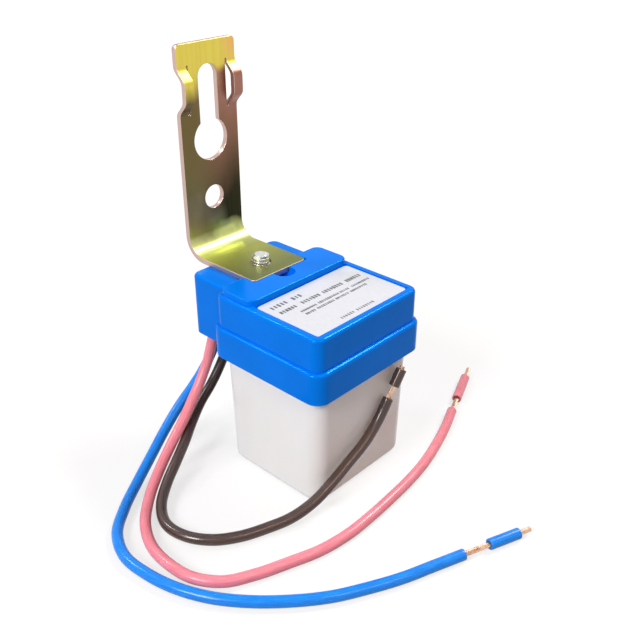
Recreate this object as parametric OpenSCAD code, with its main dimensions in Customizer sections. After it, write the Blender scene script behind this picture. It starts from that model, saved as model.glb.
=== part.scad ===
// Photocell switch: a moulded cap on a translucent cup, hung from a bent steel
// bracket, with a relay board inside and three copper leads.
// The frame: X runs from the bracket to the label end, Z up, the cup stands on Z = 0.

/* [Cap] */
// Length of the skirt, rear wall to end wall
skirt_l = 36; // [34:0.5:42]
// Width of the skirt
skirt_w = 38; // [37:0.5:44]
// Height of the skirt, from its lower edge to the ledge
skirt_h = 8; // [7:0.5:12]
// Height of the crown above the ledge
crown_h = 8.4; // [8:0.1:11]
// Width of the ledge between the skirt and the crown
ledge_w = 1; // [0.6:0.1:1.3]
// Thickness of the side walls
cap_wall = 1.5; // [1.2:0.1:1.7]
// Thickness of the roof under the label
roof_t = 1.5; // [1.2:0.1:2]
// Radius of the skirt's upright corners
corner_r = 3.6; // [3:0.1:5]
// Radius of the tab's and the platform's upright corners
tab_r = 2.4; // [1.5:0.1:3]
// Rounding along the top edges
edge_r = 0.9; // [0.4:0.1:1.2]
// Length of the tab behind the skirt
tab_l = 11.7; // [11:0.1:16]
// Width of the tab
tab_w = 29.2; // [28:0.2:31]
// Length of the raised platform in front of the tab
platform_l = 11.1; // [10:0.1:12]
// Height of the platform above the rim
platform_rise = 1.4; // [0.8:0.1:1.8]
// Distance from the crown's walls to the platform
platform_inset = 0.9; // [0.6:0.1:1.5]
// Width of the rim round the label
rim_w = 1.9; // [1.2:0.1:2.5]
// Depth of the label's recess below the rim
recess_d = 0.5; // [0.3:0.1:0.8]
// Diameter of the round pocket in front of the bracket's foot
pocket_d = 5.6; // [4:0.2:7]
// Depth of the round pocket
pocket_depth = 2.2; // [1.6:0.1:2.4]

/* [Cup] */
// Height of the cup that shows below the skirt
cup_show = 31; // [30:0.5:45]
// Wall and floor of the cup
cup_wall = 1.5; // [1.2:0.1:1.8]
// Taper of each side over the cup's whole height
cup_draft = 0.7; // [0.3:0.1:1]
// Radius of the cup's upright corners
cup_corner_r = 4; // [3:0.1:5]
// Rounding along the cup's lower edge
cup_edge_r = 1.6; // [1:0.1:2.5]
// Clearance between the cup and the skirt
cup_gap = 0.25; // [0.15:0.05:0.4]

/* [Bracket] */
// Thickness of the sheet
sheet_t = 1.5; // [1.2:0.1:2]
// Width of the bracket
bracket_w = 18; // [17:0.5:20]
// Length of the foot, from the back of the leg to the front edge
foot_l = 25.1; // [24:0.1:26]
// Height of the leg above the underside of the foot
leg_h = 53.2; // [52:0.2:70]
// Distance from the tab's end to the back of the leg
leg_overhang = 7.7; // [6:0.1:10]
// Inner radius of the bend
bend_r = 4.5; // [3:0.1:5]
// Rounding of the free corners
bracket_corner_r = 1.2; // [0.5:0.1:2]
// Diameter of the keyhole's round
keyhole_d = 10.4; // [9:0.1:11]
// Width of the keyhole's slot
slot_w = 5.8; // [4.5:0.1:6.5]
// Height of the keyhole's round above the underside of the foot
keyhole_z = 29.6; // [29:0.1:31]
// Distance from the keyhole's round to the round end of the slot
slot_rise = 15.3; // [14:0.1:16.5]
// Diameter of the fixing hole
hole_d = 6; // [5:0.1:6.5]
// Height of the fixing hole above the underside of the foot
hole_z = 14.6; // [13:0.1:16]
// Width of each lanced strap bridge
bridge_w = 2.8; // [2:0.1:3]
// Length of each bridge along the leg
bridge_l = 11.7; // [10:0.1:12]
// How far the bridges stand forward of the leg
bridge_out = 2.6; // [2:0.1:3.5]
// Distance from the top of the leg to the bridges
bridge_top = 5; // [4:0.1:6]
// Width of the cut beside each bridge
bridge_slit = 0.4; // [0.3:0.1:0.6]
// Share of a bridge's length that rises at each end
bridge_ramp = 0.34; // [0.25:0.01:0.45]
// Length by which a bridge runs into the sheet at each end
bridge_root = 0.5; // [0.2:0.1:1]
// Clearance of the foot in its channel
foot_gap = 0.2; // [0.1:0.05:0.4]

/* [Screw] */
// Diameter of the bracket screw
screw_d = 5; // [4:0.5:5]
// Diameter of the screw's head
head_d = 8.5; // [8:0.1:9]
// Height of the screw's head
head_h = 3.3; // [2.5:0.1:3.5]
// Length of the screw that shows above the foot
tip_out = 2.1; // [1:0.1:4]
// Distance from the skirt's rear wall to the screw
screw_set = 1.45; // [1:0.05:2]
// Clearance round the screw and its head
screw_gap = 0.15; // [0.05:0.05:0.3]

/* [Label] */
// Thickness of the label
label_t = 0.2; // [0.1:0.05:0.3]
// Gap between the label and the rim
label_gap = 0.3; // [0.2:0.1:1]
// Radius of the label's corners
label_r = 1; // [0.5:0.1:2]

/* [Board] */
// Thickness of the circuit board
board_t = 1.6; // [1.2:0.1:2]
// Gap between the board and the crown's walls
board_gap = 0.3; // [0.1:0.05:0.4]
// Diameter of the component pins
pin_d = 0.8; // [0.6:0.1:1]
// Length of pin that shows above the board
pin_out = 0.9; // [0.5:0.1:1.2]
// Clearance of a pin in its hole
pin_gap = 0.15; // [0.05:0.05:0.2]
// Clearance between neighbouring components, and between them and the cup
part_gap = 0.3; // [0.2:0.05:0.4]
// Distance that raised components hang below the board
stand_off = 0.6; // [0.4:0.1:1]

/* [Components] */
// Length of the relay
relay_l = 14; // [12:0.5:15]
// Width of the relay
relay_w = 16.5; // [14:0.5:18.5]
// Height of the relay
relay_h = 15.3; // [13:0.1:18]
// Radius of the relay's upright corners
relay_r = 0.8; // [0.4:0.1:1.2]
// Length of the film capacitor
film_l = 13; // [11:0.5:14]
// Width of the film capacitor
film_w = 6; // [5:0.5:7]
// Height of the film capacitor
film_h = 11; // [9:0.5:14]
// Distance between the film capacitor's pins
film_pitch = 10; // [7.5:2.5:10]
// Radius of the film capacitor's upright corners
film_r = 0.6; // [0.3:0.1:1]
// Diameter of the filter capacitor
filter_d = 8; // [6.5:0.5:8]
// Height of the filter capacitor
filter_h = 12; // [10:0.5:16]
// Distance between the filter capacitor's pins
filter_pitch = 3.5; // [2.5:0.5:4]
// Diameter of the surge varistor
varistor_d = 7; // [6:0.5:8]
// Thickness of the surge varistor
varistor_t = 3.4; // [2.5:0.1:3.8]
// Distance between the surge varistor's pins
varistor_pitch = 5; // [4:0.5:5]
// Diameter of a rectifier diode's body
diode_d = 2.7; // [2:0.1:2.8]
// Length of a rectifier diode's body
diode_l = 5.2; // [4:0.1:6]
// Distance between a rectifier diode's turned-up wires
diode_pitch = 10; // [8:0.5:10.5]
// Diameter of a rectifier diode's lying wire
diode_wire_d = 0.7; // [0.5:0.05:0.75]
// Diameter of the zener diode's body
zener_d = 1.9; // [1.6:0.1:2.4]
// Length of the zener diode's body
zener_l = 4; // [3:0.1:5]
// Diameter of a resistor's body
resistor_d = 2.3; // [1.8:0.1:2.4]
// Length of a resistor's body
resistor_l = 6.3; // [5:0.1:7]
// Diameter of the wire folded over a standing body
fold_wire_d = 0.6; // [0.4:0.05:0.7]
// Drop from a standing body to its folded wire
fold_drop = 1.2; // [1:0.1:2]
// Diameter of a transistor's body
transistor_d = 4.6; // [4:0.1:4.8]
// Height of a transistor's body
transistor_h = 4.6; // [4:0.1:5]
// Distance between a transistor's pins
transistor_pitch = 2; // [1.3:0.1:2]
// Length of a transistor's pins below the board
transistor_legs = 2; // [1.5:0.1:4]
// Diameter of the light sensor's disc
sensor_d = 5.1; // [4.4:0.1:6]
// Thickness of the light sensor's disc
sensor_t = 2; // [1.5:0.1:2.2]
// Distance between the light sensor's legs
sensor_pitch = 3.4; // [2.5:0.1:3.6]
// Length of the light sensor's legs below the board
sensor_legs = 20; // [14:0.5:22]

/* [Leads] */
// Outer diameter of a lead
lead_d = 2.7; // [2.4:0.1:2.8]
// Diameter of a lead's copper core
core_d = 1.3; // [1:0.1:1.6]
// Clearance of the leads in the window of the cap
lead_gap = 0.4; // [0.3:0.1:0.6]
// Length of core between a lead and its hole in the board
tail_l = 2.1; // [1.8:0.1:2.5]
// Diameter of that length of core
tail_d = 1.2; // [0.9:0.05:1.25]
// Clearance of a loose end sleeve on the core
sleeve_gap = 0.1; // [0.05:0.05:0.2]

/* [Hidden] */
$fn = 48;
HULL_FN = 32;
EPS = 0.01;
THROUGH = 1;
FLAT_SHARE = 0.28;

// Places along X, with the whole object centred between the leg and the skirt's end
overall_l = skirt_l + tab_l + leg_overhang;
skirt_x1 = overall_l / 2;
skirt_x0 = skirt_x1 - skirt_l;
body_x = (skirt_x0 + skirt_x1) / 2;
tab_x0 = skirt_x0 - tab_l;
leg_x0 = -overall_l / 2;
foot_x1 = leg_x0 + foot_l;
crown_l = skirt_l - 2 * ledge_w;
crown_w = skirt_w - 2 * ledge_w;
crown_x0 = skirt_x0 + ledge_w;
crown_x1 = skirt_x1 - ledge_w;
crown_r = corner_r - ledge_w;
platform_x0 = crown_x0 + platform_inset;
platform_x1 = platform_x0 + platform_l;
platform_w = crown_w - 2 * platform_inset;
recess_w = crown_w - 2 * rim_w;
screw_x = skirt_x0 - screw_set;
pocket_x = foot_x1 + pocket_d / 5;

// Heights
ledge_z = cup_show + skirt_h;
seat_z = ledge_z - cap_wall;
rim_z = ledge_z + crown_h;
recess_z = rim_z - recess_d;
roof_z = recess_z - roof_t;
platform_z = rim_z + platform_rise;
board_top = seat_z + board_t;
foot_top = rim_z + sheet_t;
leg_top = rim_z + leg_h;

// Insides
hollow_l = skirt_l - 2 * cap_wall;
hollow_w = skirt_w - 2 * cap_wall;
chamber_l = crown_l - 2 * cap_wall;
chamber_w = crown_w - 2 * cap_wall;
tab_hollow_w = tab_w - 2 * cap_wall;
cup_top_l = hollow_l - 2 * cup_gap;
cup_top_w = hollow_w - 2 * cup_gap;
board_l = chamber_l - 2 * board_gap;
board_w = chamber_w - 2 * board_gap;
rib_t = 1.4;
rib_reach = 1.6;
rib_spread = 6;
pin_sink = 1;

// Label
label_x0 = platform_x1 + label_gap;
label_x1 = crown_x1 - rim_w - label_gap;
label_w = recess_w - 2 * label_gap;

// Room for components under the board, at the depth of the relay
room_l = cup_top_l - 2 * cup_wall;
room_w = cup_top_w - 2 * cup_wall;
relay_room = 2 * cup_draft * relay_h / seat_z;

// Places of the components, from the board's middle: a column along the rear wall
column_x = -room_l / 2 + part_gap;
diode_step = diode_d + part_gap;
diode_count = 4;
diode_x = [for (k = [0:diode_count - 1]) column_x + diode_d / 2 + k * diode_step];
resistor_step = resistor_d + 2 * part_gap;
resistor_count = 3;
filter_at = [column_x + resistor_d + pin_d + 2 * part_gap + filter_d / 2,
    (room_w - relay_room) / 2 - part_gap - filter_d / 2];
filter_pins = [for (s = [-1, 1]) [0, s * filter_pitch / 2]];
resistor_x = column_x + resistor_d / 2;
resistor_at = [for (k = [0:resistor_count - 1])
    [resistor_x, room_w / 2 - cup_corner_r - k * resistor_step]];

// The relay beside that column, and its pins
relay_x0 = max(diode_x[diode_count - 1] + diode_d / 2, filter_at[0] + filter_d / 2) + part_gap;
relay_at = [relay_x0 + relay_l / 2, (room_w - relay_room) / 2 - 2 * part_gap - relay_w / 2];
relay_inset = 1.7;
relay_row = relay_l / 2 - relay_inset;
relay_end = relay_w / 2 - relay_inset;
relay_pins = [[relay_row, -relay_end], [relay_row, relay_end], [-relay_row, -relay_end],
    [-relay_row, relay_end], [0, relay_end]];

// A row along the near side: zener, varistor, film capacitor, transistors, light sensor
row_y = -room_w / 2 + 2 * part_gap + max(varistor_d, film_w) / 2;
zener_at = [column_x + zener_d / 2, row_y];
varistor_at = [zener_at[0] + standing_pitch(zener_d) + pin_d / 2 + part_gap + varistor_t / 2, row_y];
varistor_pins = [for (s = [-1, 1]) [0, s * varistor_pitch / 2]];
film_at = [varistor_at[0] + varistor_t / 2 + part_gap + film_l / 2, row_y];
film_pins = [for (s = [-1, 1]) [s * film_pitch / 2, 0]];
transistor_flat = transistor_d * FLAT_SHARE;
transistor_x = film_at[0] + film_l / 2 + part_gap + transistor_d / 2;
transistor_step = transistor_d + part_gap;
transistor_y = -room_w / 2 + part_gap + transistor_d / 2;
transistor_at = [for (k = [0, 1]) [transistor_x, transistor_y + k * transistor_step]];
sensor_at = [transistor_x + transistor_flat + part_gap + max(sensor_t, pin_d) / 2, row_y];
diode_y = row_y + max(varistor_d, film_w) / 2 + part_gap + pin_d / 2 + diode_pitch / 2;

// Colours
CAP_BLUE = "#0a84e6";
CUP_WHITE = "#e6e4dd";
ZINC_YELLOW = "#c3b04e";
STEEL = "#d0d0cc";
LABEL_WHITE = "#eceef0";
BOARD_TAN = "#b98f4d";
COPPER = "#c07a4a";
LEAD_BLUE = "#1478e0";
LEAD_RED = "#ee6376";
LEAD_BROWN = "#4f3b35";
RELAY_BLACK = "#2b2d31";
FILM_AMBER = "#d8a01e";
CAN_NAVY = "#23355c";
VARISTOR_BLUE = "#2f6fb0";
DIODE_BLACK = "#26262a";
ZENER_ORANGE = "#c9743a";
RESISTOR_TAN = "#d7c19a";
TRANSISTOR_BLACK = "#1f1f22";
SENSOR_ORANGE = "#c8803c";

// Routes of the leads' centre lines, from the board to the end of the insulation
blue_route = [[-1, -7.8, 42.2], [-2.6, -7.8, 42.2], [-5.8, -7.9, 41.6], [-9, -7.9, 40.8],
    [-11.7, -7.9, 39.6], [-14.1, -7.9, 37.6], [-15.7, -8.1, 34.9], [-16.8, -8.2, 31.8],
    [-17.7, -8.5, 28.7], [-18.7, -9.1, 25.6], [-19.3, -10.1, 22.7], [-19.8, -11.6, 19.8],
    [-20.1, -13.8, 17], [-20.2, -17, 14.2], [-20, -21.1, 11.4], [-18.3, -27.9, 7.6],
    [-15.5, -34.8, 4.6], [-12, -41.8, 2.6], [-6.9, -49.9, 1.5], [-1.4, -55.8, 1.4],
    [5.9, -58.9, 1.4], [13.9, -58.7, 1.4], [21.7, -56.9, 1.4], [29, -53.6, 1.4],
    [35.6, -48.9, 1.4], [41.4, -43.4, 1.4], [47.5, -36, 1.4], [51.6, -29, 1.4],
    [55.2, -21.8, 1.4], [58.1, -14.3, 1.4], [61, -6.8, 1.4]];
red_route = [[-1, -11.2, 42.2], [-2.5, -11.2, 42.2], [-5.5, -11.2, 42.1], [-8.6, -11.2, 41.4],
    [-11.4, -11.2, 39.9], [-13.5, -11.2, 37.8], [-14.9, -11.3, 35.2], [-15.7, -11.5, 32.3],
    [-16.1, -12, 29.2], [-16.1, -13.1, 26.1], [-16, -14.3, 23.2], [-15.9, -15.9, 20.6],
    [-15.6, -17.8, 18.1], [-15, -21, 14.8], [-13.9, -24.8, 11.7], [-11.6, -31.5, 7.7],
    [-8.3, -38.4, 4.7], [-4, -44.7, 2.8], [1.3, -49.8, 1.8], [7.8, -52.9, 1.4],
    [15.1, -53.7, 1.4], [22, -52.6, 1.4], [27.5, -48.9, 1.4], [31.1, -42.8, 1.4],
    [34, -35.4, 1.4], [36.6, -27.8, 1.4], [37.8, -19.8, 1.4], [37.8, -11.6, 1.4],
    [37.3, -3.2, 1.4], [36.5, 5.2, 1.4], [35.1, 13.5, 1.4], [32.9, 21.6, 1.4],
    [30.2, 29.6, 1.4], [27, 37.4, 1.4]];
brown_route = [[-1, -4.4, 42.2], [-2.6, -4.4, 42.2], [-5.2, -4.5, 41.8], [-8.3, -4.6, 40.9],
    [-12, -4.7, 38.5], [-14.6, -4.7, 35.4], [-16.2, -4.8, 30.9], [-17.1, -5.4, 26],
    [-17.7, -7, 21.5], [-17.8, -9.4, 17.6], [-17.5, -12.6, 14.3], [-16.6, -17, 11.5],
    [-14, -22.4, 9.1], [-10.6, -27.8, 7.4], [-7.5, -33.2, 5.8], [-4.9, -38.4, 3.6],
    [-1.2, -43.2, 1.9], [4.5, -46.2, 1.4], [10.8, -45.6, 1.4], [16.3, -42.2, 1.4],
    [20.1, -37.1, 1.4], [22.7, -31.1, 1.5], [25.2, -25.3, 2.4], [27, -19.4, 4.7],
    [27.4, -13.5, 7.2], [27.3, -7.5, 9.6], [27.3, -1.5, 12.4], [27.2, 3.5, 16.4],
    [27.4, 6.8, 21.2]];
TUBE_SIDES = 8;

// Bare core before the sleeve, sleeve, and bare tip beyond it, for each lead
blue_ends = [6.9, 8.4, 3.2];
red_ends = [6.2, 12, 5];
brown_ends = [3.3, 4.6, 0.7];

// A rounded rectangle centred on the origin
module rounded_outline(l, w, r) {
    square([l - 2 * r, w], center = true);
    square([l, w - 2 * r], center = true);
    for (sx = [-1, 1], sy = [-1, 1])
        translate([sx * (l / 2 - r), sy * (w / 2 - r)]) circle(r);
}

// A hollow with rounded upright corners, from z0 to z1
module hollow(x, l, w, r, z0, z1) {
    translate([x, 0, z0]) linear_extrude(z1 - z0) rounded_outline(l, w, r);
}

// A post whose top edge is rounded
module soft_post(r, h, top_r) {
    steps = 4;
    rotate_extrude($fn = HULL_FN)
        polygon(concat([[0, 0], [r, 0]],
            [for (k = [0:steps]) [r - top_r + top_r * cos(90 * k / steps),
                                  h - top_r + top_r * sin(90 * k / steps)]],
            [[0, h]]));
}

// A moulded block with rounded upright corners and a rounded top edge
module moulded_block(x0, x1, w, z0, z1, r, top_r) {
    hull()
        for (x = [x0 + r, x1 - r], y = [-w / 2 + r, w / 2 - r])
            translate([x, y, z0]) soft_post(r, z1 - z0, top_r);
}

// One tapered shell of the cup, inset by the wall on every side
module cup_form(inset, z0, z1, bottom_r) {
    r = cup_corner_r - inset;
    steps = 4;
    taper = cup_draft;
    hull() {
        for (sx = [-1, 1], sy = [-1, 1]) {
            translate([body_x + sx * (cup_top_l / 2 - taper - inset - r),
                       sy * (cup_top_w / 2 - taper - inset - r), z0])
                rotate_extrude($fn = HULL_FN)
                    polygon(concat([[0, 0]],
                        [for (k = [0:steps]) [r - bottom_r + bottom_r * sin(90 * k / steps),
                                              bottom_r - bottom_r * cos(90 * k / steps)]],
                        [[0, bottom_r]]));
            translate([body_x + sx * (cup_top_l / 2 - inset - r),
                       sy * (cup_top_w / 2 - inset - r), z1 - EPS])
                cylinder(r = r, h = EPS, $fn = HULL_FN);
        }
    }
}

// The cap: skirt, crown, tab and platform in one moulding, open below
module top_cap() {
    color(CAP_BLUE)
    difference() {
        union() {
            moulded_block(skirt_x0, skirt_x1, skirt_w, cup_show, ledge_z, corner_r, edge_r);
            moulded_block(crown_x0, crown_x1, crown_w, cup_show, rim_z, crown_r, edge_r);
            moulded_block(tab_x0, body_x, tab_w, cup_show, rim_z, tab_r, edge_r);
            moulded_block(platform_x0, platform_x1, platform_w, ledge_z, platform_z,
                tab_r, edge_r / 2);
        }
        hollow(body_x, hollow_l, hollow_w, corner_r - cap_wall, cup_show - THROUGH, seat_z);
        board_chamber();
        tab_hollow();
        label_recess();
        foot_channel();
        translate([pocket_x, 0, platform_z - pocket_depth])
            cylinder(d = pocket_d, h = pocket_depth + THROUGH);
        translate([screw_x, 0, roof_z - THROUGH])
            cylinder(d = screw_d + 2 * screw_gap, h = rim_z - roof_z + 2 * THROUGH);
        translate([screw_x, 0, roof_z - head_h - THROUGH])
            cylinder(d = head_d + 2 * screw_gap, h = head_h + THROUGH);
        lead_window();
    }
}

// The space above the board, with ribs left on its walls to hold the board down
module board_chamber() {
    difference() {
        hollow(body_x, chamber_l, chamber_w, crown_r - cap_wall, seat_z - EPS, roof_z);
        for (sx = [-1, 1], sy = [-1, 1])
            translate([body_x + sx * rib_spread - rib_t / 2,
                       sy * (chamber_w / 2 - rib_reach / 2) - (rib_reach + EPS) / 2, board_top])
                cube([rib_t, rib_reach + EPS, roof_z - board_top + THROUGH]);
    }
}

// The tab is open below, for the leads and the screw
module tab_hollow() {
    translate([tab_x0 + cap_wall, -tab_hollow_w / 2, cup_show - THROUGH])
        cube([tab_l - cap_wall, tab_hollow_w, roof_z - cup_show + THROUGH]);
}

module label_recess() {
    l = crown_x1 - rim_w - platform_x1;
    translate([platform_x1, -recess_w / 2, recess_z])
        cube([l, recess_w, platform_rise + recess_d + THROUGH]);
}

// The channel that keeps the bracket's foot from turning
module foot_channel() {
    w = bracket_w + 2 * foot_gap;
    translate([crown_x0 - THROUGH, -w / 2, rim_z])
        cube([foot_x1 + foot_gap - crown_x0 + THROUGH, w, platform_rise + THROUGH]);
}

// The window in the crown's rear wall that the three leads pass through
module lead_window() {
    rows = [for (route = [blue_route, red_route, brown_route]) route[0][1]];
    reach = lead_d / 2 + lead_gap;
    window_y0 = min(rows) - reach;
    window_y1 = max(rows) + reach;
    window_z1 = red_route[0][2] + reach;
    translate([skirt_x0 - THROUGH, window_y0, board_top])
        cube([ledge_w + cap_wall + 2 * THROUGH, window_y1 - window_y0, window_z1 - board_top]);
}

module rating_label() {
    color(LABEL_WHITE)
    translate([(label_x0 + label_x1) / 2, 0, recess_z])
        linear_extrude(label_t) rounded_outline(label_x1 - label_x0, label_w, label_r);
}

module light_cup() {
    color(CUP_WHITE)
    difference() {
        cup_form(0, 0, seat_z, cup_edge_r);
        cup_form(cup_wall, cup_wall, seat_z + THROUGH, cup_edge_r / 2);
    }
}

// The bent strip before its holes are cut, as a profile in X and Z
module bracket_profile() {
    outer_r = bend_r + sheet_t;
    translate([leg_x0 + outer_r, rim_z]) square([foot_l - outer_r, sheet_t]);
    translate([leg_x0, rim_z + outer_r]) square([sheet_t, leg_h - outer_r]);
    translate([leg_x0 + outer_r, rim_z + outer_r])
        intersection() {
            difference() {
                circle(outer_r);
                circle(bend_r);
            }
            translate([-outer_r, -outer_r]) square(outer_r);
        }
}

// One strap bridge, a strip pushed forward out of the leg
module strap_bridge() {
    steps = 20;
    z1 = leg_top - bridge_top;
    z0 = z1 - bridge_l;
    function bulge(u) = let(d = min(u, 1 - u) / bridge_ramp)
        d >= 1 ? bridge_out : bridge_out * (1 - cos(180 * d)) / 2;
    rise = [for (k = [0:steps]) [bulge(k / steps), z0 + bridge_l * k / steps]];
    line = concat([[0, z0 - bridge_root]], rise, [[0, z1 + bridge_root]]);
    front = [for (p = line) [leg_x0 + sheet_t + p[0], p[1]]];
    back = [for (k = [len(line) - 1:-1:0]) [leg_x0 + line[k][0], line[k][1]]];
    rotate([90, 0, 0]) linear_extrude(bridge_w, center = true) polygon(concat(front, back));
}

module bracket() {
    bridge_y = bracket_w / 2 - bridge_w / 2;
    key_z = rim_z + keyhole_z;
    color(ZINC_YELLOW) {
        difference() {
            rotate([90, 0, 0]) linear_extrude(bracket_w, center = true) bracket_profile();
            through_leg() translate([0, key_z]) circle(d = keyhole_d);
            through_leg() translate([0, key_z + slot_rise]) circle(d = slot_w);
            through_leg() translate([-slot_w / 2, key_z]) square([slot_w, slot_rise]);
            through_leg() translate([0, rim_z + hole_z]) circle(d = hole_d);
            for (s = [-1, 1])
                through_leg()
                    translate([s * (bridge_y - bridge_slit / 2), leg_top - bridge_top - bridge_l / 2])
                        square([bridge_w + bridge_slit + EPS, bridge_l], center = true);
            for (s = [-1, 1])
                through_leg() corner_cut(s, leg_top);
            for (s = [-1, 1])
                translate([0, 0, rim_z - THROUGH]) linear_extrude(sheet_t + 2 * THROUGH)
                    rotate(-90) corner_cut(s, foot_x1);
            translate([screw_x, 0, rim_z - THROUGH])
                cylinder(d = screw_d + screw_gap, h = sheet_t + 2 * THROUGH);
        }
        for (s = [-1, 1]) translate([0, s * bridge_y, 0]) strap_bridge();
    }
}

// Carries a flat outline in Y and Z through the leg
module through_leg() {
    translate([leg_x0 - THROUGH, 0, 0]) rotate([90, 0, 90])
        linear_extrude(sheet_t + 2 * THROUGH) children();
}

// What is cut away to round a corner at the end of the strip
module corner_cut(side, end) {
    r = bracket_corner_r;
    translate([side * (bracket_w / 2 - r), end - r])
        difference() {
            translate([side > 0 ? 0 : -2 * r, 0]) square(2 * r);
            circle(r);
        }
}

module bracket_screw() {
    tip_z = foot_top + tip_out;
    chamfer = 0.5;
    drive_w = 1.2;
    drive_l = head_d / 2;
    color(STEEL)
    difference() {
        translate([screw_x, 0, 0]) rotate_extrude()
            polygon([[0, roof_z - head_h], [head_d / 2 - chamfer, roof_z - head_h],
                [head_d / 2, roof_z - head_h + chamfer], [head_d / 2, roof_z],
                [screw_d / 2, roof_z], [screw_d / 2, tip_z - chamfer],
                [screw_d / 2 - chamfer, tip_z], [0, tip_z]]);
        for (turn = [0, 90])
            translate([screw_x, 0, roof_z - head_h]) rotate(turn)
                cube([drive_l, drive_w, head_h], center = true);
    }
}

// Places children at a spot on the board, with Z = 0 at its underside
module on_board(at) {
    translate([body_x + at[0], at[1], seat_z]) children();
}

// A straight pin through the board, with its lower end at the given depth
module pin(depth) {
    translate([0, 0, -depth]) cylinder(d = pin_d, h = depth + board_t + pin_out, $fn = 24);
}

function shifted(at, pins) = [for (p = pins) at + p];
function standing_pitch(d) = d / 2 + pin_d / 2 + part_gap;
function standing_pins(at, d) = [at, at + [standing_pitch(d), 0]];
function transistor_pins(at) = [for (k = [-1:1]) at + [0, k * transistor_pitch]];
function sensor_pins() = [for (s = [-1, 1]) sensor_at + [0, s * sensor_pitch / 2]];

board_pins = concat(shifted(relay_at, relay_pins), shifted(film_at, film_pins),
    shifted(filter_at, filter_pins), shifted(varistor_at, varistor_pins),
    [for (x = diode_x, s = [-1, 1]) [x, diode_y + s * diode_pitch / 2]],
    standing_pins(zener_at, zener_d), [for (a = resistor_at) each standing_pins(a, resistor_d)],
    [for (a = transistor_at) each transistor_pins(a)], sensor_pins());
tail_spots = [for (route = [blue_route, red_route, brown_route])
    [route[0][0] + tail_l, route[0][1]]];

module circuit_board() {
    color(BOARD_TAN)
    difference() {
        translate([body_x, 0, seat_z]) linear_extrude(board_t)
            rounded_outline(board_l, board_w, crown_r - cap_wall);
        for (p = board_pins)
            on_board(p) translate([0, 0, -THROUGH])
                cylinder(d = pin_d + 2 * pin_gap, h = board_t + 2 * THROUGH, $fn = 24);
        for (p = tail_spots)
            translate([p[0], p[1], seat_z - THROUGH])
                cylinder(d = core_d + 2 * pin_gap, h = board_t + 2 * THROUGH, $fn = 24);
    }
}

// A moulded case seated on the underside of the board, with its pins
module seated_case(at, l, w, h, r, pins) {
    on_board(at) {
        translate([0, 0, -h]) linear_extrude(h) rounded_outline(l, w, r);
        for (p = pins) translate([p[0], p[1], 0]) pin(pin_sink);
    }
}

module relay() {
    color(RELAY_BLACK) seated_case(relay_at, relay_l, relay_w, relay_h, relay_r, relay_pins);
}

module film_capacitor() {
    color(FILM_AMBER) seated_case(film_at, film_l, film_w, film_h, film_r, film_pins);
}

module filter_capacitor() {
    groove_z = 2;
    groove_r = 0.35;
    color(CAN_NAVY)
    on_board(filter_at) {
        difference() {
            translate([0, 0, -filter_h]) cylinder(d = filter_d, h = filter_h);
            translate([0, 0, -groove_z]) rotate_extrude()
                translate([filter_d / 2, 0]) circle(groove_r, $fn = 16);
        }
        for (p = filter_pins) translate([p[0], p[1], 0]) pin(pin_sink);
    }
}

module surge_varistor() {
    color(VARISTOR_BLUE)
    on_board(varistor_at) {
        translate([-varistor_t / 2, 0, -stand_off - varistor_d / 2]) rotate([0, 90, 0])
            cylinder(d = varistor_d, h = varistor_t);
        for (p = varistor_pins) translate([p[0], p[1], 0]) pin(stand_off + varistor_d / 2);
    }
}

// A diode lying under the board, its wires turned up through it
module lying_diode(at) {
    axis_z = -diode_d / 2 - stand_off;
    on_board(at) {
        translate([0, -diode_l / 2, axis_z]) rotate([-90, 0, 0]) cylinder(d = diode_d, h = diode_l);
        translate([0, -diode_pitch / 2, axis_z]) rotate([-90, 0, 0])
            cylinder(d = diode_wire_d, h = diode_pitch, $fn = 24);
        for (s = [-1, 1]) translate([0, s * diode_pitch / 2, 0]) pin(-axis_z + pin_d / 2);
    }
}

module rectifier_diodes() {
    color(DIODE_BLACK) for (x = diode_x) lying_diode([x, diode_y]);
}

// A body standing on one wire, the other wire folded back up beside it
module standing_part(at, d, l) {
    fold_z = -stand_off - l - fold_drop;
    on_board([0, 0]) {
        translate([at[0], at[1], -stand_off - l]) cylinder(d = d, h = l);
        for (p = standing_pins(at, d)) translate([p[0], p[1], 0]) pin(-fold_z);
        translate([at[0], at[1], fold_z + pin_d / 2]) rotate([0, 90, 0])
            cylinder(d = fold_wire_d, h = standing_pitch(d), $fn = 24);
    }
}

module zener_diode() {
    color(ZENER_ORANGE) standing_part(zener_at, zener_d, zener_l);
}

module resistors() {
    color(RESISTOR_TAN) for (a = resistor_at) standing_part(a, resistor_d, resistor_l);
}

module transistors() {
    body_z = -transistor_legs - transistor_h;
    color(TRANSISTOR_BLACK)
    for (a = transistor_at) {
        on_board(a) difference() {
            translate([0, 0, body_z]) cylinder(d = transistor_d, h = transistor_h);
            translate([transistor_flat, -transistor_d, body_z - THROUGH])
                cube([transistor_d, 2 * transistor_d, transistor_h + 2 * THROUGH]);
        }
        for (p = transistor_pins(a)) on_board(p) pin(transistor_legs + pin_sink);
    }
}

module light_sensor() {
    color(SENSOR_ORANGE) {
        on_board(sensor_at) translate([-sensor_t / 2, 0, -sensor_legs]) rotate([0, 90, 0])
            cylinder(d = sensor_d, h = sensor_t);
        for (p = sensor_pins()) on_board(p) pin(sensor_legs);
    }
}

function unit(v) = v / norm(v);
function tangent(p, i) = unit(p[min(i + 1, len(p) - 1)] - p[max(i - 1, 0)]);
function carry(n, t) = unit(n - (n * t) * t);
function normals(p, n, i = 0) = i == len(p) ? [] :
    let(m = carry(n, tangent(p, i))) concat([m], normals(p, m, i + 1));

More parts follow.
